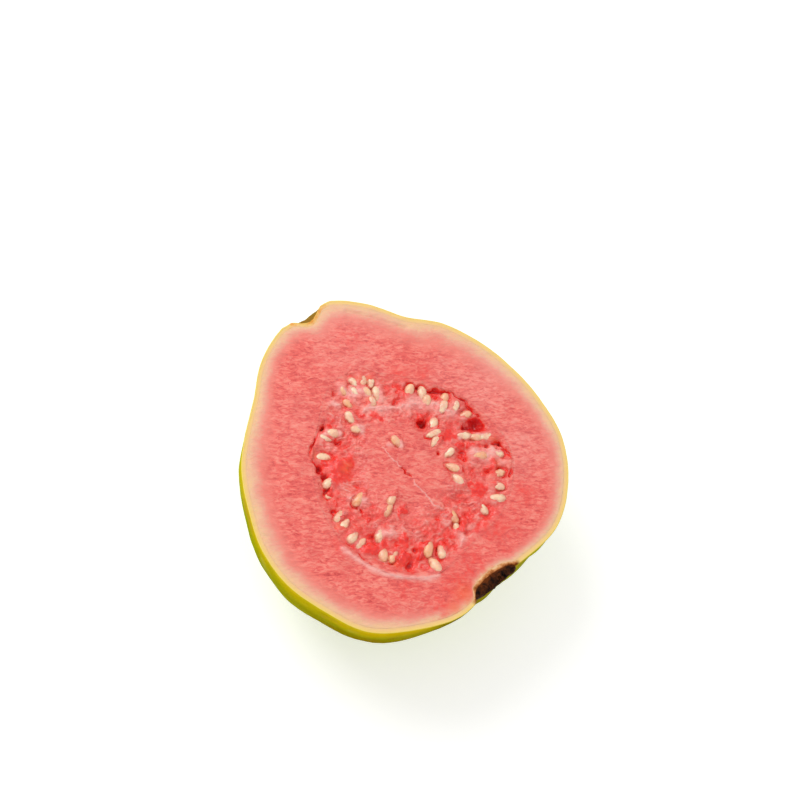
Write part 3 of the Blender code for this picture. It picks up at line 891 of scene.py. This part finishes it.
class Nodes:
    """Short calls that add shader nodes to one material and link them."""

    def __init__(self, name):
        self.material = bpy.data.materials.new(name)
        self.material.use_nodes = True
        self.tree = self.material.node_tree
        self.shader = self.tree.nodes["Principled BSDF"]
        self.place = self.add("ShaderNodeTexCoord").outputs["Object"]

    def add(self, kind, inputs=None, **settings):
        """A node with its settings, and a value or a link for each input that is named."""
        node = self.tree.nodes.new(kind)
        for name, value in settings.items():
            setattr(node, name, value)
        for name, value in (inputs or {}).items():
            self.feed(node.inputs[name], value)
        return node

    def feed(self, socket, value):
        if isinstance(value, bpy.types.NodeSocket):
            self.tree.links.new(value, socket)
        else:
            socket.default_value = value

    def scaled(self, scale, turn=0.0, move=(0.0, 0.0, 0.0)):
        """Object coordinates turned about Z and stretched."""
        turned = self.add("ShaderNodeMapping", {"Vector": self.place, "Rotation": (0.0, 0.0, turn),
                                                "Location": move})
        stretched = self.add("ShaderNodeMapping", {"Vector": turned.outputs["Vector"], "Scale": scale})
        return stretched.outputs["Vector"]

    def noise(self, size, detail=3.0, rough=0.5, vector=None, distortion=0.0):
        """Noise of 0 to 1 whose bumps have about the given size in metres."""
        node = self.add("ShaderNodeTexNoise", {
            "Vector": self.place if vector is None else vector, "Scale": 1 / size,
            "Detail": detail, "Roughness": rough, "Distortion": distortion})
        return node.outputs["Fac"]

    def cells(self, size):
        node = self.add("ShaderNodeTexVoronoi", {"Vector": self.place, "Scale": 1 / size})
        return node.outputs["Distance"]

    def value(self, name):
        """Value that the mesh keeps at each point."""
        return self.add("ShaderNodeAttribute", attribute_name=name).outputs["Fac"]

    def axis(self, name):
        return self.add("ShaderNodeSeparateXYZ", {"Vector": self.place}).outputs[name]

    def span(self, value, low, high, bottom=0.0, top=1.0):
        """A value from low to high turned smoothly into one from bottom to top."""
        node = self.add("ShaderNodeMapRange", dict(enumerate((value, low, high, bottom, top))),
                        interpolation_type="SMOOTHSTEP")
        return node.outputs["Result"]

    def spread(self, noise, bottom, top):
        """A noise, which mostly keeps to its middle range, spread from bottom to top."""
        return self.span(noise, *NOISE_RANGE, bottom, top)

    def math(self, operation, first, second):
        return self.add("ShaderNodeMath", {0: first, 1: second}, operation=operation).outputs["Value"]

    def times(self, first, second):
        return self.math("MULTIPLY", first, second)

    def plus(self, first, second):
        return self.math("ADD", first, second)

    def mix(self, share, first, second):
        node = self.add("ShaderNodeMix", {"Factor": share, 6: first, 7: second}, data_type="RGBA")
        return node.outputs[2]

    def ramp(self, value, *stops):
        """Colour along a value: each stop is a place and a colour."""
        node = self.add("ShaderNodeValToRGB", {"Fac": value})
        elements = node.color_ramp.elements
        while len(elements) < len(stops):
            elements.new(0.5)
        for element, (place, colour) in zip(elements, stops):
            element.position = place
            element.color = colour
        return node.outputs["Color"]

    def bump(self, height, distance, strength, below=None):
        node = self.add("ShaderNodeBump", {"Height": height, "Distance": distance, "Strength": strength})
        if below is not None:
            self.feed(node.inputs["Normal"], below)
        return node.outputs["Normal"]

    def set(self, name, value):
        self.feed(self.shader.inputs[name], value)

    def soften(self, weight, radius, scale):
        """Let light into the surface."""
        self.set("Subsurface Weight", weight)
        self.set("Subsurface Radius", radius)
        self.set("Subsurface Scale", scale)


SKIN_DARK = srgb(126, 138, 4)
SKIN_MID = srgb(160, 170, 18)
SKIN_LIGHT = srgb(188, 200, 56)
# pale colour that is partly the skin's bloom and partly a painted sheen; the pale dots use it too
SKIN_BLOOM_AND_SHEEN = srgb(202, 206, 130)
SKIN_RUSSET = srgb(150, 118, 58)
SKIN_OLIVE = srgb(196, 160, 0)
# painted shade colour for the skin low on the near side
SKIN_PAINTED_SHADE = srgb(130, 100, 0)
SKIN_RIM = srgb(220, 194, 30)
# painted shade colour for the skin beside the calyx
SKIN_CALYX_SIDE_SHADE = srgb(84, 64, 4)
CUT_YELLOW = srgb(244, 222, 96)
CUT_GOLD = srgb(244, 210, 128)
CUT_CREAM = srgb(248, 200, 150)
SCAR_ORANGE = srgb(236, 150, 66)
SCAR_BROWN = srgb(140, 96, 42)
FLESH_PINK = srgb(243, 102, 92)
FLESH_DEEP = srgb(206, 62, 62)
FLESH_LIGHT = srgb(254, 146, 130)
ZONE_CREAM = srgb(244, 192, 154)
ZONE_ROSE = srgb(242, 168, 144)
ZONE_PINK = srgb(244, 140, 124)
PULP_RED = srgb(255, 42, 26)
PULP_ROSE = srgb(242, 74, 66)
PULP_DARK = srgb(202, 12, 24)
PULP_PALE = srgb(255, 186, 176)
PULP_AMBER = srgb(252, 104, 52)
SEED_CREAM = srgb(255, 220, 186)
SEED_MIDDLE = srgb(255, 206, 168)
SEED_TAN = srgb(250, 180, 128)
# painted shade colour for the lower part of each seed
SEED_UNDERSIDE_SHADE = srgb(206, 84, 56)
CALYX_BROWN = srgb(84, 40, 14)
CALYX_BLACK = srgb(22, 10, 8)
CALYX_ASH = srgb(106, 68, 46)
CALYX_RUST = srgb(112, 52, 16)
CALYX_TAN = srgb(206, 132, 78)


def skin_material():
    """Green skin with pale bloom, partly a painted sheen, russet scuffs and dots, olive near the cut,
    painted shade, and its cut edge.
    """
    n = Nodes("rind_skin")
    broad = n.noise(19 * MM, 3.0, 0.55, distortion=0.4)
    mottle = n.noise(3.2 * MM, 4.0, 0.65)
    green = n.ramp(n.plus(n.times(broad, 0.62), n.times(mottle, 0.38)),
                   (0.34, SKIN_DARK), (0.52, SKIN_MID), (0.68, SKIN_LIGHT))
    streaks = n.noise(2.2 * MM, 3.0, 0.6, vector=n.scaled((1.0, 0.22, 1.0)))
    green = n.mix(n.span(streaks, 0.5, 0.75, 0.0, 0.35), green, SKIN_LIGHT)
    # pale patches, partly the skin's bloom and partly a painted sheen
    bloom_and_sheen = n.span(n.noise(13 * MM, 4.0, 0.6, vector=n.scaled((1, 1, 1), 0.7, (0.05, 0.02, 0.03))),
                   0.55, 0.74, 0.0, 0.55)
    green = n.mix(bloom_and_sheen, green, SKIN_BLOOM_AND_SHEEN)
    scuff = n.noise(16 * MM, 5.0, 0.7, vector=n.scaled((1, 1, 1), 0.2, (0.3, 0.1, 0.0)))
    green = n.mix(n.span(scuff, 0.58, 0.72, 0.0, 0.6), green, SKIN_RUSSET)
    dots = n.math("LESS_THAN", n.cells(1.5 * MM), n.span(broad, 0.35, 0.65, 0.04, 0.15))
    green = n.mix(n.times(dots, 0.25), green, SKIN_BLOOM_AND_SHEEN)

    # Stains: furrows at the blossom end, olive and golden near the cut, brown at the scar; painted shade
    # low on the near side and beside the calyx
    furrow = n.times(n.value("furrow"), n.span(mottle, 0.35, 0.65, 0.3, 1.0))
    green = n.mix(n.times(furrow, 0.7), green, SKIN_RUSSET)
    rise = n.plus(n.axis("Z"), n.spread(mottle, -0.5 * MM, 0.5 * MM))
    olive = n.times(n.span(rise, -9.0 * MM, -1.0 * MM), n.span(broad, 0.40, 0.60, 0.6, 0.95))
    olive = n.times(olive, n.value("warm"))
    green = n.mix(olive, green, SKIN_OLIVE)
    # painted shade darkens the skin low on the near side
    shade = n.times(n.value("shade"), n.spread(mottle, 0.5, 0.9))
    green = n.mix(shade, green, SKIN_PAINTED_SHADE)
    green = n.mix(n.span(rise, -2.4 * MM, 0.2 * MM, 0.0, 0.6), green, SKIN_RIM)
    # painted shade darkens the skin beside the calyx
    dusk = n.times(n.value("dusk"), n.spread(mottle, 0.6, 0.95))
    green = n.mix(dusk, green, SKIN_CALYX_SIDE_SHADE)
    crown = n.plus(n.value("from_calyx"), n.spread(mottle, -1.2, 1.2))
    green = n.mix(n.span(crown, 6.0, 14.0, 0.55, 0.0), green, SKIN_RUSSET)
    green = n.mix(n.span(crown, 5.6, 7.8, 0.9, 0.0), green, CALYX_BROWN)
    green = n.mix(n.span(n.value("from_scar"), 3.0, 7.5, 0.9, 0.0), green, SCAR_BROWN)

    # The cut edge, from the skin inwards, with a crust at the scar and at the calyx
    depth = n.value("cut_depth")
    cut = n.ramp(depth, (0.0, CUT_YELLOW), (0.4, CUT_GOLD), (1.0, CUT_CREAM))
    scarred = n.plus(n.value("from_scar"), n.spread(mottle, -1.6, 1.6))
    cut = n.mix(n.span(scarred, 2.6, 5.4, 0.85, 0.0), cut, SCAR_ORANGE)
    scarred = n.plus(scarred, n.times(depth, 2.4))
    cut = n.mix(n.span(scarred, 1.8, 3.8, 0.6, 0.0), cut, SKIN_RUSSET)
    crust = n.plus(depth, n.spread(mottle, -0.32, 0.32))
    crust = n.ramp(crust, (0.25, CALYX_RUST), (0.62, CALYX_TAN), (0.95, CUT_CREAM))
    cut = n.mix(n.span(n.value("from_calyx"), 6.5, 7.9, 1.0, 0.0), cut, crust)
    n.set("Base Color", n.mix(n.span(depth, 0.05, 0.2), green, cut))
    n.set("Roughness", n.spread(mottle, 0.42, 0.58))
    n.set("Specular IOR Level", 0.0)
    pitted = n.bump(mottle, 0.6 * MM, 0.45)
    n.set("Normal", n.bump(n.noise(0.9 * MM, 4.0, 0.6), 0.14 * MM, 0.6, below=pitted))
    n.soften(0.12, (1.0, 0.8, 0.3), 1.0 * MM)
    return n.material


def fibre_noise(n, size):
    """Short wavy fibres that lie across the image."""
    return n.noise(size, 4.0, 0.62, vector=n.scaled((0.42, 1.0, 1.0), IMAGE_TURN), distortion=0.9)


def tissue_material(name, gloss, relief):
    """Cut flesh: pink fibres, pale towards the rim, red and wet where the attributes say so."""
    n = Nodes(name)
    fibres = n.plus(n.times(fibre_noise(n, 0.62 * MM), 0.62), n.times(fibre_noise(n, 1.9 * MM), 0.38))
    broad = n.noise(6 * MM, 3.0, 0.55)
    clots = n.noise(1.6 * MM, 4.0, 0.6)
    pink = n.ramp(fibres, (0.34, FLESH_DEEP), (0.47, FLESH_PINK), (0.60, FLESH_LIGHT))
    pink = n.mix(n.span(broad, 0.45, 0.70, 0.0, 0.30), pink, FLESH_DEEP)
    rim = n.plus(n.value("from_rim"), n.spread(broad, -0.10, 0.10))
    rim = n.plus(rim, n.spread(fibres, -0.12, 0.12))
    zone = n.ramp(rim, (0.0, CUT_CREAM), (0.20, ZONE_CREAM), (0.44, ZONE_ROSE), (0.75, ZONE_PINK))
    colour = n.mix(n.span(rim, 0.45, 1.40, 0.95, 0.0), pink, zone)
    red = n.plus(n.value("red"), n.spread(clots, -0.12, 0.12))
    red = n.times(red, n.span(n.value("red"), 0.0, 0.15))
    wet = n.ramp(red, (0.0, FLESH_PINK), (0.20, PULP_ROSE), (0.55, PULP_RED), (1.0, PULP_DARK))
    colour = n.mix(n.span(red, 0.02, 0.60, 0.0, 0.95), colour, wet)
    colour = n.mix(n.times(n.value("amber"), 0.55), colour, PULP_AMBER)
    # pale flesh, membranes and folds; the folds' paleness is partly a painted highlight
    colour = n.mix(n.times(n.value("pale"), n.span(fibres, 0.38, 0.58, 0.6, 1.0)), colour, PULP_PALE)
    n.set("Base Color", colour)
    n.set("Roughness", n.span(red, 0.1, 0.6, 0.46, 0.18))
    n.set("Normal", n.bump(fibres, relief, 0.75))
    n.soften(0.20, (1.0, 0.35, 0.25), 1.0 * MM)
    n.set("Coat Weight", gloss)
    n.set("Coat Roughness", 0.15)
    return n.material


def seed_material():
    """Cream seeds, each of its own tint, rosy where film covers them, with painted shade darkening them
    towards their base.
    """
    n = Nodes("seed_cream")
    grain = n.noise(0.8 * MM, 3.0, 0.5)
    tint = n.plus(n.times(n.value("tint"), 0.7), n.times(grain, 0.3))
    cream = n.ramp(tint, (0.15, SEED_CREAM), (0.55, SEED_MIDDLE), (0.9, SEED_TAN))
    foot = n.plus(n.value("foot"), n.spread(grain, -0.12, 0.12))
    film = n.span(n.noise(1.7 * MM, 3.0, 0.6), 0.44, 0.60, 0.0, 0.58)
    cream = n.mix(film, cream, ZONE_ROSE)
    # painted shade darkens each seed towards its base
    n.set("Base Color", n.mix(n.span(foot, 0.25, 0.70, 0.0, 0.95), cream, SEED_UNDERSIDE_SHADE))
    n.set("Roughness", n.spread(grain, 0.24, 0.36))
    n.set("Normal", n.bump(grain, 0.1 * MM, 0.4))
    n.soften(0.25, (1.0, 0.5, 0.3), 0.8 * MM)
    n.set("Coat Weight", 0.3)
    n.set("Coat Roughness", 0.12)
    return n.material


def calyx_material():
    """Dry brown fibres, rusty inside the crown."""
    n = Nodes("calyx_dry")
    fibre = n.noise(0.5 * MM, 4.0, 0.7, vector=n.scaled((1.0, 0.4, 1.0)))
    patch = n.noise(1.5 * MM, 4.0, 0.65)
    inward = n.plus(n.axis("Y"), n.spread(patch, -0.7 * MM, 0.7 * MM))
    brown = n.ramp(patch, (0.38, CALYX_BLACK), (0.60, CALYX_BROWN), (0.80, CALYX_ASH))
    inner = n.span(inward, float(CALYX_MIDDLE[1]) + 0.6 * MM, float(CALYX_MIDDLE[1]) + 2.0 * MM)
    colour = n.mix(inner, brown, CALYX_RUST)
    n.set("Base Color", n.mix(n.span(fibre, 0.48, 0.75, 0.0, 0.6), colour, CALYX_BLACK))
    n.set("Roughness", n.spread(fibre, 0.62, 0.85))
    n.set("Specular IOR Level", 0.08)
    n.set("Normal", n.bump(fibre, 0.5 * MM, 0.9))
    return n.material


def floor_material():
    n = Nodes("studio_floor")
    n.set("Base Color", (FLOOR_WHITE, FLOOR_WHITE, FLOOR_WHITE, 1.0))
    n.set("Roughness", 0.9)
    n.set("Specular IOR Level", 0.1)
    n.set("Emission Color", (1.0, 1.0, 1.0, 1.0))
    n.set("Emission Strength", FLOOR_GLOW)
    return n.material


# Stage, light and camera

def add_floor():
    bm = bmesh.new()
    bmesh.ops.create_grid(bm, x_segments=1, y_segments=1, size=FLOOR_HALF)
    mesh = bpy.data.meshes.new("floor")
    bm.to_mesh(mesh)
    bm.free()
    mesh.materials.append(floor_material())
    floor = bpy.data.objects.new("floor", mesh)
    show(floor)


def add_softbox(name, bearing, elevation, distance, size, power):
    """A round soft light that faces the cut: angles in degrees, lengths in metres, power in watts."""
    light = bpy.data.lights.new(name, "AREA")
    light.shape = "DISK"
    light.size = size
    light.energy = power
    box = bpy.data.objects.new(name, light)
    a, e = math.radians(bearing), math.radians(elevation)
    toward = Vector((math.cos(a) * math.cos(e), math.sin(a) * math.cos(e), math.sin(e)))
    box.location = FACE_MIDDLE + toward * distance
    box.rotation_euler = toward.to_track_quat("Z", "Y").to_euler()
    show(box)


def add_world():
    world = bpy.data.worlds.new("studio")
    world.use_nodes = True
    background = world.node_tree.nodes["Background"]
    background.inputs["Color"].default_value = (1.0, 1.0, 1.0, 1.0)
    background.inputs["Strength"].default_value = SKY_STRENGTH
    bpy.context.scene.world = world
    bpy.context.scene.view_settings.view_transform = "Standard"


def add_camera():
    """The camera, placed back from its aim along the way that it looks."""
    near = Vector((math.cos(NEAR_BEARING), math.sin(NEAR_BEARING), 0.0))
    up = Vector((0.0, 0.0, 1.0))
    back = near * math.sin(CAMERA_TILT) + up * math.cos(CAMERA_TILT)
    away = up * math.sin(CAMERA_TILT) - near * math.cos(CAMERA_TILT)
    across = away.cross(back)
    image_up = math.cos(IMAGE_ROLL) * away - math.sin(IMAGE_ROLL) * across
    image_right = image_up.cross(back)
    place = FACE_MIDDLE + AIM + back * CAMERA_DISTANCE
    place += image_up * AIM_DOWN - image_right * AIM_RIGHT
    data = bpy.data.cameras.new("camera")
    data.lens = LENS
    data.sensor_width = SENSOR
    camera = bpy.data.objects.new("camera", data)
    turn = Matrix((image_right, image_up, back)).transposed().to_4x4()
    camera.matrix_world = Matrix.Translation(place) @ turn
    show(camera)
    bpy.context.scene.camera = camera


add_camera()
add_piece("rind_fine", rind_mesh(), skin_material(), "rind", "rind")
add_piece("flesh_fine", flesh_mesh(), tissue_material("flesh_pink", 0.05, 0.40 * MM), "flesh", "flesh")
add_piece("pulp_fine", pulp_mesh(), tissue_material("seed_pulp_red", 0.25, 0.48 * MM), "seed_pulp",
          "seed_pulp")
add_piece("seeds", seeds_mesh(), seed_material(), "seeds")
add_piece("calyx_fine", calyx_mesh(), calyx_material(), "calyx", "calyx")
add_floor()
add_world()
add_softbox("key", bearing=98.0, elevation=50.0, distance=0.8, size=0.5, power=2.6)
